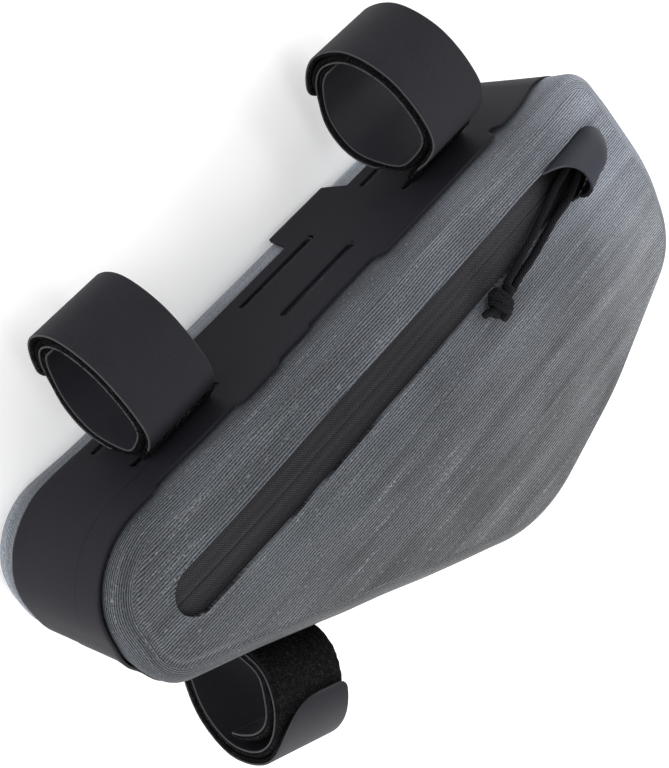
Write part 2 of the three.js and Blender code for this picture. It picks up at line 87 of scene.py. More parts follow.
# Each strap's place along its edge; the roll's half width, height, lift off the edge and shift
# across it; the turns round it at which the inner band comes out beyond the outer one, the outer
# one ends, and the inner one starts and ends; the tab's corners; the share of curls on the face
STRAP_COLUMNS = ("along", "half", "high", "lift", "shift", "tab", "end", "start", "leave", "round", "bare")
STRAPS = {name: dict(zip(STRAP_COLUMNS, row)) for name, row in {
    "front": (-63.5, 25.4, 58.4, 0.6, 1.0, 0.635, 0.665, -0.50, 0.90, (7.0, 7.0), 0.0),
    "rear": (107.5, 30.2, 59.6, 5.6, 4.8, 0.62, 0.65, -0.50, 0.88, (7.0, 7.0), 0.0),
    "lower": (-14.0, 31.0, 54.4, 3.5, -5.8, 0.68, 0.705, -0.60, 0.93, (20.0, 4.0), 0.6),
}.items()}
LOWER_PLACE = STRAPS["lower"]["along"]

tape_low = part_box("zip_tape_upper")[0] / METRE
SHIFT = np.array([tape_low.x - (ZIP_X0 - TAPE_LAP), tape_low.y - (ZIP_Y + GAP / 2), 0.0])


# Shape tools

def smooth(a, b, x):
    """0 below a, 1 above b, and an S-curve between them."""
    t = np.clip((x - a) / (b - a), 0, 1)
    return t * t * (3 - 2 * t)


def hump(x, centre, reach):
    """Bell curve: 1 at the centre, and almost nothing twice the reach away."""
    return np.exp(-((x - centre) / reach) ** 2)


def steps(x, table):
    """Value that goes from one level to the next in S-curves: each row of the table is a place,
    the level after it and how long the change takes."""
    level = np.full(np.shape(x), float(table[0][1]))
    for before, (at, after, ramp_long) in zip(table, table[1:]):
        level = level + (after - before[1]) * smooth(at - ramp_long / 2, at + ramp_long / 2, x)
    return level


def wander(u, v, seed, size):
    """Value noise from -1 to 1: random numbers on a lattice of that size, eased between."""
    lattice = np.random.default_rng(seed).uniform(-1, 1, (128, 128))
    a, b = np.asarray(u) / size, np.asarray(v) / size
    i, j = np.floor(a).astype(int), np.floor(b).astype(int)
    s, t = smooth(0, 1, a - i), smooth(0, 1, b - j)
    at = lambda p, q: lattice[p % 128, q % 128]
    return ((at(i, j) * (1 - s) + at(i + 1, j) * s) * (1 - t)
            + (at(i, j + 1) * (1 - s) + at(i + 1, j + 1) * s) * t)


def unit(v):
    """Each vector at length 1."""
    return v / np.maximum(np.linalg.norm(v, axis=-1, keepdims=True), 1e-9)


def left_of(directions):
    """Flat directions turned a quarter turn to the left."""
    return np.stack([-directions[:, 1], directions[:, 0]], axis=1)


def gone_along(line):
    """Length from a line's start to each of its points."""
    return np.concatenate([[0], np.cumsum(np.linalg.norm(np.diff(line, axis=0), axis=1))])


def read_off(at, places, values):
    """Rows of values, read off at other places than those they are given for."""
    return np.stack([np.interp(at, places, column) for column in values.T], axis=-1)


def between(knots, share):
    """Smooth point between the second and third of four knots (Catmull-Rom)."""
    a, b, c, d = knots
    return 0.5 * (2 * b + (c - a) * share + (2 * a - 5 * b + 4 * c - d) * share ** 2
                  + (3 * b - a - 3 * c + d) * share ** 3)


def closed_curve(knots, t):
    """Smooth closed line through the knots, t from 0 to 1 once round."""
    knots = np.asarray(knots, float)
    at = (np.asarray(t) % 1.0) * len(knots)
    i = np.floor(at).astype(int)
    return between([knots[(i + k) % len(knots)] for k in (-1, 0, 1, 2)], (at - i)[:, None])


def open_curve(knots, count):
    """Smooth open line through the knots, evenly spaced by length."""
    knots = np.asarray(knots, float)
    ends = np.vstack([2 * knots[0] - knots[1], knots, 2 * knots[-1] - knots[-2]])
    at = np.linspace(0, len(knots) - 1 - 1e-6, 400)
    i = np.floor(at).astype(int)
    line = between([ends[i + k] for k in range(4)], (at - i)[:, None])
    gone = gone_along(line)
    return read_off(np.linspace(0, gone[-1], count), gone, line)


def quads(grid, uv):
    """Corner points and pattern places of the four-sided faces between a grid's rows and columns."""
    corners = lambda a: np.stack([a[:-1, :-1], a[:-1, 1:], a[1:, 1:], a[1:, :-1]], axis=2)
    return tuple(corners(a).reshape(-1, 4, a.shape[2]) for a in (grid, uv))


def add_object(name, data):
    """Object with that name and data, in the scene."""
    added = bpy.data.objects.new(name, data)
    bpy.context.scene.collection.objects.link(added)
    return added


def make(name, sheets, material, replaces=(), sharp=None):
    """Mesh from lists of four-sided faces: equal corners are joined, and faces that close to a line are
    dropped or become triangles. A third pattern value is kept as the attribute wear_and_shade: cut edges and
    wear on some pieces, painted shade on the garage."""
    corners = np.concatenate([s[0] for s in sheets]).reshape(-1, 3)
    places = np.concatenate([np.pad(s[1], ((0, 0), (0, 0), (0, 3 - s[1].shape[2]))) for s in sheets])
    _, first, index = np.unique(np.round(corners, 4), axis=0, return_index=True, return_inverse=True)
    index = index.reshape(-1, 4)
    keep = index != np.roll(index, 1, axis=1)
    enough = keep.sum(1) >= 3
    index, keep, places = index[enough], keep[enough], places[enough]
    sizes = keep.sum(1)
    loops, places = index[keep], places[keep].astype(np.float32)
    mesh = bpy.data.meshes.new(name)
    mesh.vertices.add(len(first))
    mesh.vertices.foreach_set("co", ((corners[first] + SHIFT) * METRE).astype(np.float32).ravel())
    mesh.loops.add(len(loops))
    mesh.loops.foreach_set("vertex_index", loops.astype(np.int32))
    mesh.polygons.add(len(sizes))
    mesh.polygons.foreach_set("loop_start", (np.cumsum(sizes) - sizes).astype(np.int32))
    mesh.uv_layers.new(name="along").data.foreach_set("uv", places[:, :2].ravel())
    mesh.attributes.new("wear_and_shade", "FLOAT", "CORNER").data.foreach_set("value", places[:, 2].copy())
    mesh.update(calc_edges=True)
    mesh.validate()
    mesh.polygons.foreach_set("use_smooth", np.ones(len(mesh.polygons), bool))
    if sharp:
        mesh.set_sharp_from_angle(angle=math.radians(sharp))
    mesh.materials.append(material)
    piece = add_object(name, mesh)
    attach(piece, "root")
    if replaces:
        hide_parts(*replaces)
    return piece


def thicken(piece, thick):
    """Gives a sheet of faces its thickness, inwards from where it lies."""
    wall = piece.modifiers.new("thickness", "SOLIDIFY")
    wall.thickness, wall.offset = thick, -1.0
    return wall


# Side outline

def outline(count):
    """Points, outward normals and lengths along the pouch's side outline, evenly spaced from the
    rear top corner along the top, round the nose and back: straight runs and corner arcs."""
    at = np.array([(NOSE_X + along * LENGTH, -down * DEPTH) for along, down, _ in OUTLINE])
    radius = np.array([corner * DEPTH for _, _, corner in OUTLINE])
    into = unit(at - np.roll(at, 1, axis=0))
    out = unit(np.roll(at, -1, axis=0) - at)
    turn = np.arctan2(into[:, 0] * out[:, 1] - into[:, 1] * out[:, 0], (into * out).sum(1))
    inward = left_of(into)
    centre = at - into * (radius * np.tan(turn / 2))[:, None] + inward * radius[:, None]
    a = np.arctan2(-inward[:, 1], -inward[:, 0])[:, None] + turn[:, None] * np.linspace(0, 1, 60)
    normal = np.stack([np.cos(a), np.sin(a)], axis=2)
    points = (centre[:, None] + normal * (radius - INSET)[:, None, None]).reshape(-1, 2)
    normal = normal.reshape(-1, 2)
    points, normal = np.vstack([points, points[:1]]), np.vstack([normal, normal[:1]])
    gone = gone_along(points)
    want = np.linspace(0, gone[-1], count + 1)
    facing = unit(read_off(want, gone, normal))
    pull = np.interp(want, *np.array(PULL).T)
    ease = np.hanning(25) / np.hanning(25).sum()
    pull = np.convolve(np.concatenate([pull[-13:-1], pull, pull[1:13]]), ease, "valid")
    return read_off(want, gone, points) - facing * pull[:, None], facing, want


RIM_POINTS, RIM_NORMALS, RIM_LENGTHS = outline(840)
CROWN_CENTRE = np.array([NOSE_X + 0.52 * LENGTH, -0.46 * DEPTH])


def panel_height(x, y):
    """Height of the zip panel's face: highest at the crown's centre, falling with the square of
    the share of the way out to the rim, plus the slack and pull of the fabric."""
    rim = RIM_POINTS[:-1] - RIM_NORMALS[:-1] * EDGE_ROUND - CROWN_CENTRE
    angle = np.arctan2(rim[:, 1], rim[:, 0])
    order = np.argsort(angle)
    arm_x, arm_y = x - CROWN_CENTRE[0], y - CROWN_CENTRE[1]
    reach = np.interp(np.arctan2(arm_y, arm_x), angle[order], np.hypot(rim[:, 0], rim[:, 1])[order],
                      period=2 * np.pi)
    share = np.clip(np.hypot(arm_x, arm_y) / reach, 0, 1)
    slack = 0.35 * wander(x + 900, y + 900, 3, 46.0) + 0.12 * wander(x + 900, 2 * y + 900, 4, 15.0)
    return WIDTH + CROWN * (1 - share ** 2) + (1 - share ** 4) * slack


def window_point(xy):
    """Nearest point of the zipper window's edge: a slot with round ends that is cut a little wider
    on its lower side by the garage's mouth."""
    r = ZIP_WIDTH / 2
    x = np.clip(xy[..., 0], ZIP_X0 + r, ZIP_X0 + ZIP_LENGTH - r)
    core = np.stack([x, np.full_like(x, ZIP_Y)], axis=-1)
    out = unit(xy - core)
    wider = MOUTH_WIDER * hump(x, MOUTH_X, MOUTH_REACH) * np.clip(-out[..., 1], 0, 1)
    return core + out * (r + wider)[..., None]


def sink(length, z):
    """How far the outline's surface has sunk inwards: a soft dip at the rear top corner that
    deepens towards the far side, a slack far edge behind the nose, and a flattened lower front
    corner."""
    away = np.minimum(np.abs(length - 10.0), np.abs(length - RIM_LENGTHS[-1] - 10.0))
    rear = (0.6 + 6.8 * np.clip((74 - z) / 70, 0, 1)) * hump(away, 0, 34.0)
    nose = 1.8 * np.clip((20 - z) / 18, 0, 1) * hump(length, 278.0, 26.0)
    lower = 4.6 * hump(length, 374.0, 11.0) * smooth(-6, 14, z) * (1 - 0.7 * smooth(55, 72, z))
    return rear + nose + lower


def along_top(x):
    """Length along the outline of a place on the straight top run."""
    top = (RIM_NORMALS[:, 1] > 0.9999) & (RIM_POINTS[:, 0] < 180)
    return np.interp(-np.asarray(x, float), -RIM_POINTS[top, 0], RIM_LENGTHS[top])


LOWER_FROM, LOWER_TO = (np.array([NOSE_X + a * LENGTH, -d * DEPTH]) for a, d, _ in OUTLINE[2:4])
LOWER_DIRECTION = unit(LOWER_TO - LOWER_FROM)
LOWER_OUTWARD = np.array([LOWER_DIRECTION[1], -LOWER_DIRECTION[0]])
LOWER_PULL = 1.0
LOWER_SURFACE = LOWER_FROM @ LOWER_OUTWARD - LOWER_PULL


def along_lower(along):
    """Length along the outline of a place on the straight lower edge behind the nose."""
    low = (RIM_NORMALS @ LOWER_OUTWARD) > 0.9999
    return np.interp(along, RIM_POINTS[low] @ LOWER_DIRECTION, RIM_LENGTHS[low])


def on_outline(length, grow, z):
    """Point at that length along the outline, moved out by grow, at height z."""
    normal = unit(read_off(length, RIM_LENGTHS, RIM_NORMALS))
    xy = read_off(length, RIM_LENGTHS, RIM_POINTS) + normal * (np.asarray(grow) - sink(length, z))[..., None]
    return np.concatenate([xy, np.broadcast_to(np.asarray(z, float), xy.shape[:-1])[..., None]], axis=-1)


# Shader tools

def fill(tree, node, values):
    """Sets the node's inputs, or links them where the value is a socket, by name or number."""
    for k, v in dict(values).items():
        if isinstance(v, bpy.types.NodeSocket):
            tree.links.new(v, node.inputs[k])
        else:
            node.inputs[k].default_value = v
    return node


def put(tree, kind, values=(), **settings):
    """Adds a shader node with those settings and fills its inputs."""
    node = tree.nodes.new("ShaderNode" + kind)
    for k, v in settings.items():
        setattr(node, k, v)
    return fill(tree, node, values)


def calc(tree, operation, *values, clamp=False):
    """One sum on numbers."""
    return put(tree, "Math", dict(enumerate(values)), operation=operation, use_clamp=clamp).outputs[0]


def plus(tree, a, b):
    """Sum of two values."""
    return calc(tree, "ADD", a, b)


def times(tree, a, b):
    """Product of two values."""
    return calc(tree, "MULTIPLY", a, b)


def ramp(tree, value, low, high, first=0.0, last=1.0, soft=False):
    """Goes from first to last as the value goes from low to high, straight or in an S-curve."""
    return put(tree, "MapRange", {0: value, 1: low, 2: high, 3: first, 4: last},
               interpolation_type="SMOOTHSTEP" if soft else "LINEAR").outputs[0]


def mix_colour(tree, factor, a, b, blend="MIX"):
    """Two colours mixed by a factor."""
    return put(tree, "Mix", {0: factor, 6: a, 7: b}, data_type="RGBA", blend_type=blend).outputs[2]


def toned(tree, colour, tone):
    """Colour made lighter or darker by a value."""
    return put(tree, "VectorMath", {0: colour, 1: tone}, operation="MULTIPLY").outputs[0]


def noise(tree, place, scale, detail, roughness, distortion=0.0):
    """Cloudy pattern from 0 to 1."""
    return put(tree, "TexNoise", {"Vector": place, "Scale": scale, "Detail": detail, "Roughness": roughness,
                                  "Distortion": distortion}).outputs[0]


def split(tree, vector):
    """Separate values of a vector."""
    return put(tree, "SeparateXYZ", {0: vector}).outputs


def group(name, values, outputs):
    """Empty shader group: a Place and named values go in, named values come out."""
    tree = bpy.data.node_groups.new(name, "ShaderNodeTree")
    tree.interface.new_socket("Place", in_out="INPUT", socket_type="NodeSocketVector")
    for label, value in values.items():
        tree.interface.new_socket(label, in_out="INPUT", socket_type="NodeSocketFloat").default_value = value
    for label in outputs:
        tree.interface.new_socket(label, in_out="OUTPUT", socket_type="NodeSocketFloat")
    return tree, tree.nodes.new("NodeGroupInput").outputs, tree.nodes.new("NodeGroupOutput")


def make_cloth_wear():
    """Slow and fine changes of tone: Tone is about 1, Grain is from 0 to 1."""
    tree, start, end = group("cloth_wear", {"Slow": 20.0, "Fine": 400.0, "Amount": 0.3}, ["Tone", "Grain"])
    slow = noise(tree, start["Place"], start["Slow"], 4.0, 0.6)
    fine = noise(tree, start["Place"], start["Fine"], 2.0, 0.7)
    swing = times(tree, calc(tree, "SUBTRACT", slow, 0.5), start["Amount"])
    fill(tree, end, {"Tone": plus(tree, 1.0, swing), "Grain": fine})
    return tree


def make_ribs():
    """Ribs along the pattern's first axis with fine uneven threads over them. Height is from 0 to
    1; Flecks marks short whitish dots that gather in lines along the ribs; Bands are slow tone
    changes, long in line with the ribs."""
    tree, start, end = group("laminate_ribs", {"Pitch": 1.4, "Fleck amount": 0.5},
                             ["Height", "Flecks", "Bands"])
    place = start["Place"]

    def stretched(along, across, detail, roughness, seed):
        scale = (along, across, 1)
        moved = put(tree, "Mapping", {"Vector": place, "Location": (seed, seed, 0), "Scale": scale})
        return noise(tree, moved.outputs[0], 1.0, detail, roughness)

    drift = stretched(0.012, 0.03, 1.0, 0.5, 3.0)
    across = plus(tree, split(tree, place)[1], times(tree, drift, 5.0))
    turn = times(tree, calc(tree, "DIVIDE", across, start["Pitch"]), 2 * math.pi)
    rib = plus(tree, times(tree, calc(tree, "SINE", turn), 0.5), 0.5)
    thread = stretched(0.75, 1.55, 2.0, 0.7, 11.0)
    cross = stretched(1.6, 1.0, 1.0, 0.6, 17.0)
    woven = plus(tree, times(tree, thread, 0.66), times(tree, cross, 0.42))
    rough = ramp(tree, woven, 0.32, 0.76)
    lane = ramp(tree, stretched(0.016, 0.36, 3.0, 0.6, 29.0), 0.56, 0.76)
    dots = ramp(tree, stretched(0.9, 1.3, 2.0, 0.7, 41.0), 0.50, 0.62)
    lone = ramp(tree, stretched(0.30, 1.2, 1.0, 0.5, 53.0), 0.69, 0.78)
    fleck = calc(tree, "MAXIMUM", times(tree, lane, dots), times(tree, lone, 0.55))
    wide = plus(tree, times(tree, stretched(0.008, 0.10, 3.0, 0.6, 67.0), 0.6),
                times(tree, stretched(0.02, 0.035, 3.0, 0.6, 71.0), 0.4))
    fill(tree, end, {"Height": plus(tree, times(tree, rib, 0.5), times(tree, rough, 0.5)),
                     "Flecks": times(tree, fleck, start["Fleck amount"]),
                     "Bands": ramp(tree, wide, 0.36, 0.64)})
    return tree


def make_chevrons():
    """Herringbone: columns along the first axis in which slanted threads lean one way and the
    other in turn. Height is from 0 to 1."""
    tree, start, end = group("herringbone", {"Column": 2.3, "Thread": 1.0}, ["Height"])
    part = split(tree, start["Place"])
    lean = calc(tree, "PINGPONG", calc(tree, "DIVIDE", part[1], start["Column"]), 1.0)
    turn = plus(tree, calc(tree, "DIVIDE", part[0], start["Thread"]), times(tree, lean, 2.2))
    wave = calc(tree, "SINE", times(tree, turn, 2 * math.pi))
    fill(tree, end, {"Height": plus(tree, times(tree, wave, 0.5), 0.5)})
    return tree


CLOTH_WEAR, RIBS, CHEVRONS = make_cloth_wear(), make_ribs(), make_chevrons()


# Materials

def new_material(name, roughness, specular):
    """Material with a Principled shader, and where its patterns are read: the object's own
    coordinates and the pattern laid along the piece."""
    material = bpy.data.materials.new(name)
    material.use_nodes = True
    tree = material.node_tree
    shader = fill(tree, tree.nodes["Principled BSDF"],
                  {"Roughness": roughness, "Specular IOR Level": specular})
    place = put(tree, "TexCoord").outputs["Object"]
    return material, tree, shader, place, put(tree, "UVMap", uv_map="along").outputs[0]


def wear_of(tree, place, slow, fine):
    """Tone and Grain of the cloth's wear at those two scales."""
    wear = put(tree, "Group", {"Place": place, "Slow": slow, "Fine": fine}, node_tree=CLOTH_WEAR)
    return wear.outputs["Tone"], wear.outputs["Grain"]


def wear_and_shade_mask(tree):
    """Mask that a mesh carries: its real wear and cut edges, and painted shade on the garage."""
    return put(tree, "Attribute", attribute_name="wear_and_shade").outputs["Fac"]


def face(tree, shader, colour, height, distance, strength):
    """Links the shader's colour, and its relief from a height."""
    relief = put(tree, "Bump", {"Height": height, "Distance": distance, "Strength": strength})
    fill(tree, shader, {"Base Color": colour, "Normal": relief.outputs[0]})


def laminate_material():
    """Grey ribbed laminate: light threads over darker ground, whitish flecks, cooler near the top edge, warmer
    at the nose, and paler where an edge has been creased. Paler towards the rear, partly its own tone and
    partly painted light; painted light also brightens the far side and the rear corner."""
    material, tree, shader, place, pattern = new_material("ribbed_laminate", 0.6, 0.1)
    ribs = put(tree, "Group", {"Place": pattern, "Pitch": 1.28, "Fleck amount": 0.95}, node_tree=RIBS).outputs
    tone, grain = wear_of(tree, place, 16.0, 900.0)
    x, y, z = split(tree, place)
    # Painted light: the ground is paler towards the rear, partly the cloth's own tone and partly painted light
    # from the rear lamps.
    back = ramp(tree, x, -0.14, 0.175, soft=True)
    warm = ramp(tree, y, 0.01, -0.09, soft=True)
    ground = mix_colour(tree, back, (0.047, 0.0505, 0.054, 1), (0.089, 0.095, 0.104, 1))
    hue = mix_colour(tree, warm, (0.985, 0.995, 1.045, 1), (1.03, 1.0, 0.965, 1))
    relief = ramp(tree, ribs["Height"], 0.22, 0.80)
    thread = mix_colour(tree, relief, (0.18, 0.19, 0.20, 1), (1.95, 1.93, 1.91, 1))
    band = mix_colour(tree, ribs["Bands"], (0.70, 0.70, 0.70, 1), (1.38, 1.38, 1.39, 1))
    cloth = ground
    for layer in (hue, thread, band):
        cloth = mix_colour(tree, 1.0, cloth, layer, "MULTIPLY")
    # Painted light: the far side, next to the floor, is lightened up to 3.2 times.
    under = ramp(tree, z, 0.020, 0.008, 1.0, 3.2)
    # Painted light: the rear end of the panel is lightened up to 1.7 times.
    rear = SHIFT[0] * METRE
    corner = ramp(tree, x, rear + 0.130, rear + 0.185, 1.0, 1.7, soft=True)
    cloth = toned(tree, toned(tree, cloth, times(tree, under, corner)), tone)
    crest = times(tree, calc(tree, "GREATER_THAN", ribs["Height"], 0.42), wear_and_shade_mask(tree))
    mark = calc(tree, "MAXIMUM", ribs["Flecks"], times(tree, crest, grain))
    pale = mix_colour(tree, mark, cloth, (0.30, 0.315, 0.33, 1))
    face(tree, shader, pale, ribs["Height"], 0.00016, 0.7)
    fill(tree, shader, {"Roughness": plus(tree, 0.46, times(tree, grain, 0.22))})
    return material


def sheet_material():
    """Smooth black coated sheet with a faint grain and two thin lines pressed in along the nose, painted
    darker as painted shade in their grooves.
    """
    material, tree, shader, place, pattern = new_material("coated_sheet", 0.5, 0.06)
    tone, grain = wear_of(tree, place, 24.0, 1500.0)
    along, across, _ = split(tree, pattern)
    nose = ramp(tree, along, 265.0, 292.0, soft=True)

    def pressed(z, depth):
        away = calc(tree, "ABSOLUTE", calc(tree, "SUBTRACT", across, z))
        return times(tree, calc(tree, "SUBTRACT", 1.0, times(tree, away, 2.6), clamp=True), depth)

    line = times(tree, plus(tree, pressed(57.5, 1.0), pressed(24.0, 0.45)), nose)
    # Painted shade: the pressed lines are painted darker in their grooves.
    base = mix_colour(tree, line, (0.0120, 0.0114, 0.0150, 1), (0.005, 0.005, 0.006, 1))
    height = calc(tree, "SUBTRACT", times(tree, grain, 0.25), line)
    face(tree, shader, toned(tree, base, tone), height, 0.0002, 0.5)
    fill(tree, shader, {"Roughness": plus(tree, 0.44, times(tree, grain, 0.22))})
    return material


def skin_material():
    """Strap skin: smooth knitted face, slightly mottled, with a very fine grain and a pale line
    where its cut edge shows."""
    material, tree, shader, place, _ = new_material("strap_skin", 0.62, 0.1)
    tone, grain = wear_of(tree, place, 60.0, 1300.0)
    knit = mix_colour(tree, grain, (0.0096, 0.0098, 0.0128, 1), (0.0186, 0.0190, 0.0236, 1))
    edge = times(tree, wear_and_shade_mask(tree), 0.4)
    cut = mix_colour(tree, edge, toned(tree, knit, tone), (0.085, 0.084, 0.086, 1))
    face(tree, shader, cut, grain, 0.00022, 0.5)
    return material


def pile_material():
    """Loop pile: very dark, with curly speckles that catch some light."""
    material, tree, shader, place, _ = new_material("strap_pile", 0.9, 0.08)
    curly = noise(tree, place, 1100.0, 3.0, 0.8, 1.5)
    lit = ramp(tree, curly, 0.53, 0.66)
    tone = mix_colour(tree, lit, (0.0012, 0.0012, 0.0016, 1), (0.034, 0.033, 0.036, 1))
    face(tree, shader, tone, curly, 0.0009, 1.0)
    return material


def zip_material():
    """Coated zipper: herringbone of fine slanted threads, lighter towards the rear from painted light, and
    dark under the garage from painted shade."""
    material, tree, shader, place, pattern = new_material("zip_tape", 0.55, 0.08)
    weave = put(tree, "Group", {"Place": pattern, "Column": 2.1, "Thread": 1.1},
                node_tree=CHEVRONS).outputs[0]
    tone, _ = wear_of(tree, place, 30.0, 1200.0)
    woven = mix_colour(tree, weave, (0.0040, 0.0039, 0.0047, 1), (0.0270, 0.0265, 0.0305, 1))
    along = split(tree, pattern)[0]
    # Painted light lightens the tape towards the rear; painted shade darkens it under the garage.
    lighter = ramp(tree, along, 20.0, 105.0, 1.0, 1.7, soft=True)
    darker = ramp(tree, along, 122.0, 142.0, 1.0, 0.1, soft=True)
    cloth = toned(tree, toned(tree, woven, tone), times(tree, lighter, darker))
    face(tree, shader, cloth, weave, 0.00014, 0.6)
    return material


def garage_material():
    """Matte black moulding, a touch bluer and smoother than the sheet, with painted shade inside, along its
    foot and at the mouth's low end.
    """
    material, tree, shader, place, _ = new_material("garage_moulding", 0.6, 0.1)
    _, grain = wear_of(tree, place, 50.0, 1400.0)
    moulded = mix_colour(tree, grain, (0.022, 0.0235, 0.031, 1), (0.033, 0.035, 0.045, 1))
    # Painted shade: near black where the mesh's wear_and_shade value marks the inside, the foot and the
    # mouth's low end.
    dark = mix_colour(tree, wear_and_shade_mask(tree), moulded, (0.003, 0.003, 0.004, 1))
    face(tree, shader, dark, grain, 0.00015, 0.4)
    return material


def cord_material():
    """Braided cord: two sets of strands that cross in diamonds, light along their crests."""
    material, tree, shader, _, pattern = new_material("braided_cord", 0.75, 0.05)
    part = split(tree, pattern)
    along = times(tree, part[0], 2 * math.pi / 2.2)
    across = times(tree, part[1], 2 * math.pi / 1.1)
    one = calc(tree, "SINE", plus(tree, along, across))
    two = calc(tree, "SINE", calc(tree, "SUBTRACT", along, across))
    braid = calc(tree, "MAXIMUM", one, two)
    lit = ramp(tree, braid, 0.6, 1.0)
    tone = mix_colour(tree, lit, (0.0022, 0.0022, 0.0030, 1), (0.017, 0.017, 0.0205, 1))
    face(tree, shader, tone, braid, 0.00018, 0.7)
    return material


LAMINATE, SHEET, SKIN, PILE = laminate_material(), sheet_material(), skin_material(), pile_material()
ZIP, GARAGE, CORD = zip_material(), garage_material(), cord_material()


# Camera, lights and floor

CAMERA_AT = (-0.31555, 0.347269, 0.480096)
PICTURE_RIGHT = (0.594410, -0.388385, 0.704155)
PICTURE_DOWN = (-0.655558, -0.741174, 0.144583)
VIEW_LINE = (0.465748, -0.547556, -0.695170)
PICTURE_HIGH, FOCAL_PIXELS, SENSOR = 768, 1510.98, 36.0

FLOOR_HALF, FLOOR_COLOUR, FLOOR_ROUGH, FLOOR_GLOW, SKY = 12.0, (0.93, 0.93, 0.93, 1), 0.9, 0.16, 0.6
# Lamps: direction from the bag, distance, size, power, and the point that they face
LAMPS = {
    "rear_lamp": ((1.0, 0.1, 0.5), 0.85, 0.7, 6.5, (0.1, 0.0, 0.04)),
    "low_lamp": ((-0.1, -1.0, 0.5), 0.9, 0.7, 8.2, (0.0, 0.0, 0.04)),
    "front_lamp": ((-1.0, 0.45, 0.3), 1.1, 0.8, 11.0, (0.0, 0.0, 0.04)),
    "top_lamp": ((0.0, 0.0, 1.0), 1.8, 1.4, 6.0, (0.0, 0.0, 0.04)),
}


def set_camera():
    """Camera where the photograph was taken from: place and turn were fitted to the outline."""
    data = bpy.data.cameras.new("camera")
    data.sensor_width, data.sensor_fit = SENSOR, "AUTO"
    data.lens = FOCAL_PIXELS / PICTURE_HIGH * SENSOR
    camera = add_object("camera", data)
    turn = Matrix((PICTURE_RIGHT, [-v for v in PICTURE_DOWN], [-v for v in VIEW_LINE])).transposed()
    camera.matrix_world = Matrix.Translation(CAMERA_AT) @ turn.to_4x4()
    bpy.context.scene.camera = camera


def add_light(name, direction, distance, size, power, aim):
    """Soft square lamp at that distance along a direction from the point it faces."""
    data = bpy.data.lights.new(name, "AREA")
    data.shape, data.size, data.energy = "SQUARE", size, power
    lamp = add_object(name, data)
    back = unit(np.array(direction, float))
    lamp.rotation_euler = Vector(back).to_track_quat("Z", "Y").to_euler()
    lamp.location = [a + b * distance for a, b in zip(aim, back)]


def set_stage():
    """Pale floor, white surroundings and four soft lamps."""
    mesh = bpy.data.meshes.new("floor")
    corners = [(x * FLOOR_HALF, y * FLOOR_HALF, 0) for x, y in ((-1, -1), (1, -1), (1, 1), (-1, 1))]
    mesh.from_pydata(corners, [], [(0, 1, 2, 3)])
    floor = add_object("floor", mesh)
    pale = bpy.data.materials.new("pale_floor")
    pale.use_nodes = True
    fill(pale.node_tree, pale.node_tree.nodes["Principled BSDF"],
         {"Base Color": FLOOR_COLOUR, "Roughness": FLOOR_ROUGH, "Emission Color": (1, 1, 1, 1),
          "Emission Strength": FLOOR_GLOW})
    mesh.materials.append(pale)
    world = bpy.data.worlds.new("studio")
    bpy.context.scene.world = world
    world.use_nodes = True
    fill(world.node_tree, world.node_tree.nodes["Background"], {0: (1, 1, 1, 1), 1: SKY})
    bpy.context.scene.view_settings.view_transform = "Standard"
    for name, row in LAMPS.items():
        add_light(name, *row)


set_camera()
set_stage()


# Pull cord

CORD_WIDE = 3.3
KNOT_AT, KNOT_LIFT = np.array([79.6, -51.8]), 4.2
COIL_RADIUS, CORE_RADIUS, CUT_RADIUS = 1.75, 2.9, 1.65
# Routes down the zipper: place on the panel and height over it
STRAND_ROUTES = {
    "cord_strand_upper": [
        (158, -33.0, 0.0), (147.6, -35.0, 0.2), (140.7, -36.1, 0.3), (133.1, -38.1, 0.6), (118.5, -42.2, 1.2),
        (112.6, -43.6, 1.5), (104.2, -45.4, 1.8), (96.3, -47.4, 1.9), (90.3, -48.4, 2.1), (86.2, -49.2, 2.8)],
    "cord_strand_lower": [
        (160, -41.0, 0.0), (152.3, -43.6, 0.3), (143.6, -45.6, 1.2), (135.8, -45.8, 1.7), (128.7, -46.6, 1.7),
        (118.7, -48.7, 1.7), (112.0, -50.2, 1.7), (105.1, -51.3, 1.7), (97.5, -52.0, 1.8), (89.7, -53.0, 2.6)],
}


def frames(line):
    """Directions along a line, and two directions square to it that don't twist."""
    along = unit(np.gradient(line, axis=0))
    side = np.zeros_like(line)
    side[0] = unit(np.cross(along[0], [0.1, 0.2, 1.0]))
    for i in range(1, len(line)):
        side[i] = unit(side[i - 1] - along[i] * (side[i - 1] @ along[i]))
    return along, side, np.cross(along, side)


def tube(line, radius):
    """Round tube on a line: circles of that radius square to it, with domed ends."""
    along, side, lift = frames(line)
    angle = np.linspace(0, 2 * np.pi, 21)
    circle = side[:, None] * np.cos(angle)[:, None] + lift[:, None] * np.sin(angle)[:, None]
    grid = line[:, None] + circle * radius
    uv = np.stack(np.broadcast_arrays(gone_along(line)[:, None], angle * radius), axis=-1)
    dome = np.linspace(0, np.pi / 2, 5)[:, None, None]
    caps = []
    for end, sign in ((0, -1), (-1, 1)):
        bulge = sign * 0.5 * radius * np.sin(dome)
        ring = line[end] + circle[end] * radius * np.cos(dome) + along[end] * bulge
        caps.append((ring[::sign], np.broadcast_to(uv[end], ring.shape[:2] + (2,))))
    (first, first_uv), (last, last_uv) = caps
    grid = np.concatenate([first[:-1], grid, last[1:]])
    uv = np.concatenate([first_uv[:-1], uv, last_uv[1:]])
    grid[:, -1] = grid[:, 0]
    return quads(grid[:, ::-1], uv[:, ::-1])


def route(knots):
    """Points over the panel, from places on it and heights above it."""
    x, y, lift = np.array(knots, float).T
    return np.column_stack([x, y, panel_height(x, y) + lift])


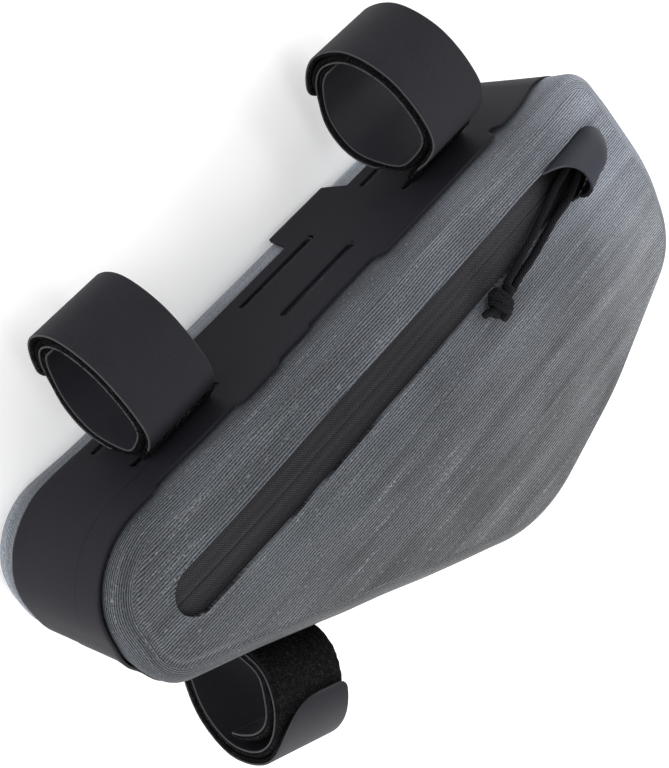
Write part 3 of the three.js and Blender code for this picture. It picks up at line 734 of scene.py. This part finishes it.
def make_knot():
    """Knot: a coil of the same cord wound round both strands, its turns overlapping, round a short
    core, and one short cut end."""
    centre = np.array([*KNOT_AT, panel_height(*KNOT_AT) + KNOT_LIFT])
    wide, deep, up = np.array([0.30, -0.95, 0.0]), np.array([-0.95, -0.30, 0.0]), np.array([0.0, 0.0, 1.0])
    t = np.linspace(-0.6, 3.2 * 2 * np.pi, 260)
    w = np.linspace(-1, 1, 260)
    reach = 6.0 * (1 - 0.3 * w ** 2) + 0.5 * np.cos(2 * w * np.pi)
    coil = (centre + wide * (reach * np.cos(t) + 0.8 * w)[:, None]
            + deep * (3.7 * w + 0.7 * np.sin(t))[:, None]
            + up * ((3.0 - 0.6 * w ** 2) * np.sin(t) - 0.2)[:, None])
    core = open_curve([centre - deep * 7.5, centre - deep * 2 + up * 0.3, centre + deep * 5.5 - up * 0.8], 30)
    cut = open_curve([centre + deep * 2.0 + up * 0.5, centre + deep * 5.5 - wide * 2.5,
                      centre + deep * 9.0 - wide * 4.2 - up * 1.6], 26)
    turns = [tube(coil, COIL_RADIUS), tube(core, CORE_RADIUS), tube(cut, CUT_RADIUS)]
    return make("pull_knot", turns, CORD, replaces=("cord_knot",))


def make_cords():
    """Two braided strands side by side from the garage's mouth to the knot."""
    lines = {node: open_curve(route(knots), 90) for node, knots in STRAND_ROUTES.items()}
    strands = {node: make(node.replace("cord", "pull"), [tube(line, CORD_WIDE / 2)], CORD,
                          replaces=(node,)) for node, line in lines.items()}
    carried = [make_knot()]
    for node, line in lines.items():
        carried = ()


make_cords()


# Pouch

# Where the gusset's pattern starts, how far it is stretched across and how far it is moved
GUSSET_START, GUSSET_STRETCH, GUSSET_MOVE = 191.0, 1.5, 5.0


def profile_rows():
    """Rows of the pouch from the far panel's centre round the outside to the zipper window and
    back along the inside: kind of row, its parameter, and how far in from the outer face."""
    rows = lambda inset, *runs: [(kind, value, inset) for kind, values in runs for value in values]
    near = np.concatenate([[0.995, 0.98, 0.96, 0.93], np.linspace(0.89, 0.06, 26), [0.03, 0.012, 0.0]])
    outside = rows(0, ("far", np.linspace(0.02, 1, 9)), ("far_round", np.linspace(0, 90, 7)[1:]),
                   ("gusset", np.linspace(0, 1, 12)[1:]), ("near_round", np.linspace(90, 0, 10)[1:]),
                   ("near", near))
    inside = rows(WALL, ("near", [0.0, 0.1, 0.3, 0.6, 0.9, 1.0]), ("near_round", [30, 60, 90]),
                  ("gusset", [0.7, 0.3, 0.0]), ("far_round", [60, 30, 0]), ("far", [0.6, 0.02]))
    return outside + inside


def crease(reach):
    """Shallow valley where the panel is welded to the gusset, at that reach in from the rim."""
    return -0.28 * hump(reach, 2.0, 0.9) + 0.16 * hump(reach, 4.2, 1.2)


def far_row(value, inset):
    """Row of the flat far panel, a share of the way out from its centre."""
    sunk = RIM_POINTS - RIM_NORMALS * (EDGE_ROUND + sink(RIM_LENGTHS, 0.0))[:, None]
    xy = CROWN_CENTRE + (sunk - CROWN_CENTRE) * (0 if value < 0.03 else value)
    return xy, float(inset), np.column_stack([xy * [1, -1], np.zeros(len(xy))])


def near_row(value, inset):
    """Row of the crowned near panel, a share of the way from the zipper window out to the rim."""
    rim = RIM_POINTS - RIM_NORMALS * EDGE_ROUND
    window = window_point(rim)
    xy = window + (rim - window) * value
    reach = np.linalg.norm(rim - xy, axis=1)
    z = panel_height(xy[:, 0], xy[:, 1]) - inset
    if inset:
        return xy, z, np.column_stack([xy, np.zeros(len(xy))])
    weld = smooth(250, 285, RIM_LENGTHS) * (1 - smooth(395, 450, RIM_LENGTHS))
    z = z + crease(reach) * weld + 0.25 * hump(np.linalg.norm(window - xy, axis=1), 0, 1.2)
    pale = smooth(255, 285, RIM_LENGTHS) * (1 - smooth(385, 440, RIM_LENGTHS))
    return xy, z, np.column_stack([xy, 0.28 * hump(reach, 2.4, 0.6) * pale])


def side_row(kind, value, inset):
    """Row of the gusset, a share of the way up it, or of a rounded edge, at an angle in degrees."""
    if kind == "gusset":
        out, z = 0.0, EDGE_ROUND + value * (WIDTH - 2 * EDGE_ROUND)
        across = z
    else:
        a, bend = math.radians(value), EDGE_ROUND - inset
        out, z = -bend * (1 - math.sin(a)), EDGE_ROUND - bend * math.cos(a)
        across = EDGE_ROUND - EDGE_ROUND * (math.pi / 2 - a)
        if kind == "near_round":
            z, across = WIDTH - z, WIDTH - across
    sunk = sink(RIM_LENGTHS, z) * min(1.0, (WIDTH - z) / 9)
    xy = RIM_POINTS + RIM_NORMALS * (out - inset - sunk)[:, None]
    across = np.full(len(xy), GUSSET_STRETCH * (across - WIDTH) + GUSSET_MOVE)
    return xy, z, np.column_stack([GUSSET_START - RIM_LENGTHS, across, np.zeros(len(xy))])


def make_pouch():
    """Pouch: the outline carried through flat far panel, quarter-round edges, gusset and crowned
    near panel to the window, then back inside it by the wall as the inner face. The pattern runs along
    the panels as they lie, and along the gusset round the outline."""
    rows = profile_rows()
    grid, marks = [], []
    for kind, value, inset in rows:
        xy, z, uv = (far_row(value, inset) if kind == "far" else near_row(value, inset) if kind == "near"
                     else side_row(kind, value, inset))
        grid.append(np.column_stack([xy, np.broadcast_to(z, len(xy))]))
        marks.append(uv)
    grid, marks = np.array(grid), np.array(marks)
    sheets = []
    for i, (kind, following) in enumerate(zip([r[0] for r in rows], [r[0] for r in rows[1:]])):
        uv = marks[i:i + 2].copy()
        if "near" in (kind, following) or following == "far":
            uv[..., :2] = grid[i:i + 2, :, :2]
        sheets.append(quads(grid[i:i + 2], uv))
    return make("ribbed_pouch", sheets, LAMINATE, replaces=("pouch_shell",), sharp=50)


pouch = make_pouch()


# Strap sheet

# Heights of the far and near edge after each place along the top run, and the length of the change
FAR_EDGE = [(-160, 17.6, 4), (-88, 18.0, 4), (42.5, 4.6, 4), (83.0, 18.0, 4)]
NEAR_EDGE = [(-160, 70.6, 5), (-92, 68.7, 2.5), (-46, 71.2, 3.5), (-22, 69.0, 4), (-1, 67.4, 1.8),
             (43, 71.4, 6), (126, 66.2, 3), (131, 69.8, 4)]
SHEET_START, SHEET_FLAT_WIDE, SHEET_FILLED, SHEET_EDGE = 17.0, 66.8, 0.83, 0.25
# Its edges' heights on the lower edge, and how far its near edge drops towards the rear end
LOWER_FAR_EDGE, LOWER_NEAR_EDGE, REAR_DROP = 17.0, 63.5, 7.5


def slot_half(gone, centre):
    """Half width of a round-ended slot at lengths along the sheet."""
    r = SLOT_WIDE / 2
    past = np.abs(gone - centre) - (SLOT_LENGTH / 2 - r)
    return np.where(past < 0, r, np.sqrt(np.clip(r * r - past * past, 0, None)))


def make_sheet():
    """Sheet over the top, the nose and the lower edge: rows between its far and near edges part
    round each slot; columns follow the outline, closer at the slots' ends and the edges' steps."""
    slots = [along_top(v) for v in (STRAPS["rear"]["along"], SPARE_SLOT, STRAPS["front"]["along"])]
    slots.append(along_lower(LOWER_PLACE))
    gone = np.linspace(SHEET_START, float(along_lower(LOWER_PLACE + 0.9 * SLOT_LENGTH)), 460)
    reach = SLOT_LENGTH / 2 - SLOT_WIDE / 2 * (1 - np.sin(np.linspace(0, np.pi / 2, 7)))
    at_slots = [centre + side * reach for centre in slots for side in (-1, 1)]
    at_steps = [along_top(x) + np.linspace(-3, 3, 9) for x, _, _ in FAR_EDGE[1:] + NEAR_EDGE[1:]]
    gone = np.unique(np.round(np.concatenate([gone, *at_slots, *at_steps]), 3))
    x = float(along_top(0)) - gone
    far, near = steps(x, FAR_EDGE), steps(x, NEAR_EDGE)
    far = far + (LOWER_FAR_EDGE - far) * smooth(350, 390, gone)
    near = near + (LOWER_NEAR_EDGE - near) * smooth(340, 378, gone) - REAR_DROP * smooth(138, 176, x)
    half = sum(slot_half(gone, centre) for centre in slots)
    wide = half + 0.9 * slot_half(gone, slots[1])
    low, high = MIDDLE_Z - SLOT_PITCH / 2, MIDDLE_Z + SLOT_PITCH / 2
    sheets = []
    for from_z, to_z, count in ((far, low - half, 9), (low + half, high - half, 10), (high + wide, near, 9)):
        z = from_z + (to_z - from_z) * np.linspace(0, 1, count)[:, None]
        s = np.broadcast_to(gone, z.shape)
        proud = INSET - 0.6 * smooth(335, 355, s) * (1 - smooth(385, 405, s)) - 2.4 * (1 - smooth(17, 34, s))
        sheets.append(quads(on_outline(s, proud, z)[:, ::-1], np.stack([s, z], axis=-1)[:, ::-1]))
    piece = make("coated_strap_sheet", sheets, SHEET, replaces=("strap_sheet",))
    thicken(piece, SHEET_THICK * METRE).use_even_offset = True
    edge = piece.modifiers.new("edge", "BEVEL")
    edge.width, edge.segments = SHEET_EDGE * METRE, 2
    edge.limit_method, edge.angle_limit = "ANGLE", math.radians(60)


make_sheet()


# Zipper and garage

def make_zipper():
    """Two tapes under the window's edge: each a slot-shaped half, a little below the panel's inner
    face, with a low rounded ridge over the closed teeth."""
    r = ZIP_WIDTH / 2 + TAPE_LAP
    x0, x1 = ZIP_X0 - TAPE_LAP, ZIP_X0 + ZIP_LENGTH + TAPE_LAP
    x = x0 + (x1 - x0) * (0.5 - 0.5 * np.cos(np.linspace(0, np.pi, 260)))
    past = np.maximum(np.maximum(x0 + r - x, x - (x1 - r)), 0)
    half = np.sqrt(np.clip(r * r - past * past, 0, None))
    slit = 0.03
    for side, node in ((1, "zip_tape_upper"), (-1, "zip_tape_lower")):
        y = ZIP_Y + side * (slit + (np.maximum(half, slit) - slit) * np.linspace(0, 1, 16)[:, None])
        xx = np.broadcast_to(x, y.shape)
        top = panel_height(xx, y) - TAPE_DOWN + 0.15 * hump(y, ZIP_Y, 4.2) - 0.05 * hump(y, ZIP_Y, 0.4)
        grid, uv = np.stack([xx, y, top], axis=-1), np.stack([xx, y - ZIP_Y], axis=-1)
        piece = make(node.replace("zip_tape", "zip_cloth"), [quads(grid[::side], uv[::side])],
                     ZIP, replaces=(node,))
        thicken(piece, METRE)


make_zipper()


def hood(inset):
    """Outer or inner face of the garage: half-round sections from the slanted mouth to the round
    rear end, as a grid with rows along it and columns over it."""
    share = np.linspace(0, 1, 44)[:, None]
    angle = np.linspace(0, np.pi, 41)[None, :]
    rear, half, high = GARAGE_REAR - inset, GARAGE_HALF - inset, GARAGE_HIGH - inset
    lean = MOUTH_LEAN * np.sin(angle / 2) ** MOUTH_CURVE - MOUTH_OVER
    lean = lean - MOUTH_FOOT * smooth(0.74 * np.pi, np.pi, angle)
    front = GARAGE_REAR - GARAGE_LENGTH + lean
    x = front + (rear - front) * np.sin(share * np.pi / 2)
    close = np.clip((x - (rear - half * 1.12)) / (half * 1.12), 0, 1)
    taper = np.sqrt(np.clip(1 - close ** 2, 0, 1))
    wider = 0.36 * hump(x, 153.0, 9.0) * (angle > np.pi / 2)
    y = ZIP_Y + half * np.cos(angle) * taper * (1 + wider)
    lift = np.sin(angle) ** HOOD_CURVE * (high + HOOD_RISE * (1 - share)) * taper
    clear = np.where(lift < 0.4, FOOT_CLEAR, HOOD_CLEAR)
    grid = np.stack([x, y, panel_height(x, y) + lift + clear], axis=-1)
    grid[-1] = grid[-1].mean(0)
    return grid


def make_garage():
    """Hood over the zipper's rear end: an outer and an inner face that are joined round the mouth and the
    foot. The pattern's third value paints shade into the inside, along the foot and at the mouth's low end."""
    outer, inner = hood(0.0), hood(GARAGE_WALL)
    uv = outer[..., :2]
    shaded = lambda at, shade: np.concatenate([at, np.broadcast_to(shade, at.shape[:-1])[..., None]], axis=-1)
    # Painted shade: the third pattern value marks the foot, the inside and the mouth's low end, which the
    # moulding's material darkens to near black.
    foot = outer[..., 2] - panel_height(outer[..., 0], outer[..., 1])
    mouth_painted_shade = 0.95 * smooth(0.72 * np.pi, 0.86 * np.pi, np.linspace(0, np.pi, outer.shape[1]))
    rim = shaded(uv[0], mouth_painted_shade)
    sheets = [quads(outer, shaded(uv, 0.85 * (1 - smooth(0.5, 1.3, foot)))),
              quads(inner[:, ::-1], shaded(uv, 1.0)[:, ::-1]),
              quads(np.stack([outer[0], inner[0]])[:, ::-1], np.stack([rim, rim])[:, ::-1])]
    for column, pair in ((0, (inner, outer)), (-1, (outer, inner))):
        edge = np.stack([face_grid[:, column] for face_grid in pair])
        sheets.append(quads(edge[:, ::-1], np.stack([uv[:, column], uv[:, column]])))
    make("zip_hood", sheets, GARAGE, replaces=("zip_garage",), sharp=45)


make_garage()


# Straps

# Rolled section seen from the nose, across and up as shares of half width and half height
ROLL = [(0.45, -0.97), (0.98, -0.55), (1.0, -0.02), (0.69, 0.6), (0.1, 0.98),
        (-0.55, 0.89), (-0.93, 0.45), (-0.99, -0.15), (-0.72, -0.76), (-0.12, -1.0)]


def roll_line(strap, turn, depth):
    """Points of the roll at turns round it, and the inward direction, depth under its outside."""
    knots = np.array(ROLL) * [strap["half"], strap["high"] / 2]
    at = closed_curve(knots, turn)
    inward = left_of(unit(closed_curve(knots, np.asarray(turn) + 1e-3) - at))
    middle = [MIDDLE_Z + strap["shift"], strap["lift"] + strap["high"] / 2]
    return at + inward * np.broadcast_to(depth, len(at))[:, None] + middle, inward


def band(line, inward, thick, width, tab=(0.0, 0.0), fuzz=0.0, seed=0, columns=44):
    """Flat band carried along a section line (z, y): outer face, inner face and rounded edges.
    Its free end's two corners are rounded by tab, and fuzz roughens all but the inner face. The
    pattern's third value is 1 round the cut edges."""
    gone = gone_along(line)
    left = gone[-1] - gone
    halves = []
    for r in tab:
        near = np.clip(r - left, 0, r)
        halves.append(width / 2 - r + np.sqrt(np.clip(r * r - near * near, 0, None)))
    thick = np.broadcast_to(np.asarray(thick, float), len(line))
    lip = 0.5 * thick.max()
    low, high = lip - halves[0], halves[1] - lip
    across = low + (high - low) * np.linspace(0, 1, columns)[:, None]
    angles = np.linspace(-np.pi / 2, np.pi / 2, 6)[1:-1, None]
    out_by, rise = lip * np.cos(angles), 0.5 * thick * np.sin(angles)
    flat = np.broadcast_to(0.5 * thick, (columns, len(line)))
    x = np.concatenate([across, high + out_by, across[::-1], low - out_by, across[:1]])
    out = np.concatenate([flat, -rise, -flat, rise, flat[:1]])
    part = np.repeat([0, 1, 2, 1, 0], [columns, 4, columns, 4, 1])[:, None]
    if fuzz:
        coarse, fine = wander(gone + 500, x + 500, seed, 1.3), wander(gone + 500, x + 500, seed + 1, 0.6)
        rough = fuzz * (0.6 * coarse + 0.5 * fine)
        out = out + np.where(part == 0, rough + 0.3 * fuzz, np.where(part == 1, rough * 0.6, 0))
        x = x + np.where(part == 1, np.sign(x) * rough * 0.8, 0)
    zy = line - inward * out[..., None]
    grid = np.stack([x, zy[..., 1], zy[..., 0]], axis=-1)
    ends = np.maximum(np.exp(-left / CUT_PALE), np.exp(-gone / CUT_PALE))
    edge = np.maximum(np.broadcast_to(part == 1, x.shape), ends)
    uv = np.stack(np.broadcast_arrays(gone[None], x, edge), axis=-1)
    first, last = (np.broadcast_to(grid[:, [end]].mean(0), (len(grid), 1, 3)) for end in (0, -1))
    grid = np.concatenate([first, grid, last], axis=1)
    uv = np.concatenate([uv[:, :1], uv, uv[:, -1:]], axis=1)
    return quads(grid, uv)


def eased(turn, stations):
    """Depth at each turn, in S-curves between stations."""
    at, depth = np.array(stations).T
    i = np.clip(np.searchsorted(at, turn, side="right") - 1, 0, len(at) - 2)
    share = smooth(at[i], at[i + 1], turn)
    return depth[i] * (1 - share) + depth[i + 1] * share


def eased_line(line, reach=25):
    """The same line with its tight bends rounded by a running mean, and the inward directions that
    belong to it."""
    ease = np.hanning(2 * reach + 1) / np.hanning(2 * reach + 1).sum()
    ends = np.concatenate([2 * line[:1] - line[reach:0:-1], line, 2 * line[-1:] - line[-2:-reach - 2:-1]])
    line = np.stack([np.convolve(column, ease, "valid") for column in ends.T], axis=1)
    return line, left_of(unit(np.gradient(line, axis=0)))


def set_down(sheet, name):
    """Carries a strap built at x = 0 to its place: along the top line, or turned, mirrored across
    the slots and carried to the lower edge."""
    corners, uv = sheet[0].copy(), sheet[1]
    if name != "lower":
        corners[..., 0] += STRAPS[name]["along"]
        return corners[:, ::-1], uv[:, ::-1]
    corners[..., 2] = 2 * MIDDLE_Z - corners[..., 2]
    x, y = corners[..., :1] + LOWER_PLACE, corners[..., 1:2] + LOWER_SURFACE
    corners[..., :2] = x * LOWER_DIRECTION + y * LOWER_OUTWARD
    return corners, uv


def curls(base, normal, seed, high):
    """Small loops of thread: each is a half-round arch out along its normal, leaning to a random
    side, three-sided and pointed where it goes into the cloth."""
    rng = np.random.default_rng(seed)
    side = rng.normal(size=(len(base), 3))
    side = unit(side - normal * (side * normal).sum(1, keepdims=True))
    flat = np.cross(side, normal)[:, None]
    tall, wide = rng.uniform(*high, (len(base), 1, 1)), rng.uniform(0.5, 1.3, (len(base), 1, 1))
    k = np.linspace(0, 1, 5)[None, :, None]
    out = tall * np.sin(np.pi * k) ** 0.7 - THREAD_ROOT
    path = base[:, None] + normal[:, None] * out + side[:, None] * wide * k
    lift = np.cross(unit(np.gradient(path, axis=1)), flat)
    radius = THREAD * np.sin(np.pi * k) ** 0.3
    a = np.array([0, 1, 2, 0])[:, None] * 2 * np.pi / 3
    ring = path[:, :, None] + radius[..., None] * (np.cos(a) * flat[:, None] + np.sin(a) * lift[:, :, None])
    corner = lambda i, j: ring[:, i:ring.shape[1] - 1 + i, j:ring.shape[2] - 1 + j]
    faces = np.stack([corner(0, 0), corner(0, 1), corner(1, 1), corner(1, 0)], axis=3).reshape(-1, 4, 3)
    return faces, np.zeros((len(faces), 4, 2))


def edge_curls(line, inward, thick, width, count, seed, faces=0.0, high=(0.3, 0.75)):
    """Curls along both edges of a pile band, and over its outer face for the share faces."""
    rng = np.random.default_rng(seed)
    gone = gone_along(line)
    at = rng.uniform(0, gone[-1], count)
    inner = unit(read_off(at, gone, inward))
    on_face = rng.random(count) < faces
    side = np.where(rng.random(count) < 0.5, -1.0, 1.0)
    out = np.where(on_face, 0.5 * thick, rng.uniform(-0.4, 0.5, count) * thick)
    x = np.where(on_face, rng.uniform(-0.5, 0.5, count) * width, side * width / 2)
    zy = read_off(at, gone, line) - inner * out[:, None]
    outward = np.stack([np.zeros(count), -inner[:, 1], -inner[:, 0]], axis=1)
    sideways = side[:, None] * [1.0, 0.0, 0.0] + 0.5 * outward
    normal = unit(np.where(on_face[:, None], outward, sideways) + rng.normal(0, 0.25, (count, 3)))
    return curls(np.stack([x, zy[:, 1], zy[:, 0]], axis=1), normal, seed + 1, high)


def outer_line(strap):
    """Section line of the outer band: up out of the near slot and round the roll to the tab."""
    slot = MIDDLE_Z + SLOT_PITCH / 2
    run, inward = roll_line(strap, np.linspace(0.04, strap["end"], 220), OUTER_SKIN / 2)
    over = (slot + 0.32 * (run[0, 0] - slot), max(1.9, 0.5 * run[0, 1]))
    foot = open_curve([(slot, -1.0), (slot + 0.05, 0.9), over, run[0]], 40)[:-1]
    return np.vstack([foot, run]), np.vstack([left_of(unit(np.gradient(foot, axis=0))), inward])


def inner_course(strap, pile, bare):
    """Turns of the inner band, with the depth of its pile's face under the roll's outside and the
    thickness of the pile: inside both bands at its start, then against the outer band, and on the
    outside once that one has ended."""
    under, out, start, end = HOOK_THICK + GAP, strap["tab"] + 0.01, strap["start"], strap["end"]
    deep = under + LOOP_THICK + GAP + 0.4
    lap, last = 1.2 + 1.9 * bare, pile + 0.7 if bare else 0.06
    depth = [(start, deep + 2.4 * bare), (start + 0.09, deep + 4.0 * bare), (out - 1.02 + 0.06 * bare, deep),
             (out - 0.9, lap + 0.1), (-0.12, lap), (-0.05, 0.9), (0.03, under + 0.2), (0.1, under),
             (out - 0.06 * bare, under), (out + 0.16 - 0.05 * bare, 0.0), (out + 0.4, 0.0)]
    thick = [(start, pile - 0.2), (out - 1.02, pile + 0.3), (out - 0.9, pile + 2.0 - 1.2 * bare),
             (-0.12, pile + 0.6), (0.0, pile), (end + 0.005, pile), (end + 0.06, last), (out + 0.4, last)]
    turn = np.linspace(start, strap["leave"], 520)
    return turn, eased(turn, depth), eased(turn, thick)


def make_strap(name):
    """One rolled strap: a thin outer skin with hooks under it, an inner skin with thick pile on its
    outside, and a fuzzy foot where the strap comes up through the near slot."""
    strap = STRAPS[name]
    bare = strap["bare"] > 0

    line, inward = outer_line(strap)
    above = slice(int(np.argmax(line[:, 1] > 3.2)), None)
    skin = band(line[above], inward[above], OUTER_SKIN, STRAP_WIDTH, tab=strap["round"])
    make(f"{name}_outer_skin", [set_down(skin, name)], SKIN,
         replaces=(f"{name}_strap_hook_band",))

    foot = slice(0, int(np.argmax(line[:, 1] > 7.5)) + 2)
    course = line[foot] + inward[foot] * 0.45, inward[foot], FOOT_PILE, STRAP_WIDTH - 0.4
    fuzzy = [band(*course, fuzz=0.8, seed=21, columns=46),
             edge_curls(*course, 900, 31, faces=0.6, high=(0.6, 1.5))]

    line, inward = roll_line(strap, np.linspace(0.03, strap["end"] - 0.004, 150), OUTER_SKIN + 0.7)
    fuzzy.append(band(line, inward, HOOK_PILE, STRAP_WIDTH - 0.7, tab=strap["round"], fuzz=0.3,
                      seed=5, columns=30))
    square = slice(0, -35 if bare else -15)
    fuzzy.append(edge_curls(line[square], inward[square], HOOK_PILE, STRAP_WIDTH - 0.7, 800, 41))

    pile = LOOP_THICK - INNER_SKIN + 0.4
    turn, depth, thick = inner_course(strap, pile, bare)
    line, inward = eased_line(roll_line(strap, turn, depth + thick + INNER_SKIN / 2)[0])
    if not bare:
        line[:, 1] = np.maximum(line[:, 1], 0.75)
    skin = band(line, inward, INNER_SKIN, STRAP_WIDTH, tab=(3.0, 3.0))
    make(f"{name}_inner_skin", [set_down(skin, name)], SKIN,
         replaces=(f"{name}_strap_loop_band",))

    stop = len(turn) if bare else int(np.argmax(turn > strap["end"] - 0.005))
    line, inward = (v[:stop] for v in eased_line(roll_line(strap, turn, depth + thick / 2 + 0.05)[0]))
    fuzzy.append(band(line[::2], inward[::2], thick[:stop:2], STRAP_WIDTH - 0.5,
                      tab=(0.0, 0.0) if bare else (9.0, 9.0), fuzz=0.3, seed=11, columns=54))
    square = slice(0, None if bare else -36)
    fuzzy.append(edge_curls(line[square], inward[square], pile, STRAP_WIDTH - 0.5, 2000, 51,
                            faces=strap["bare"]))
    make(f"{name}_pile", [set_down(sheet, name) for sheet in fuzzy], PILE)


for strap_name in STRAPS:
    make_strap(strap_name)
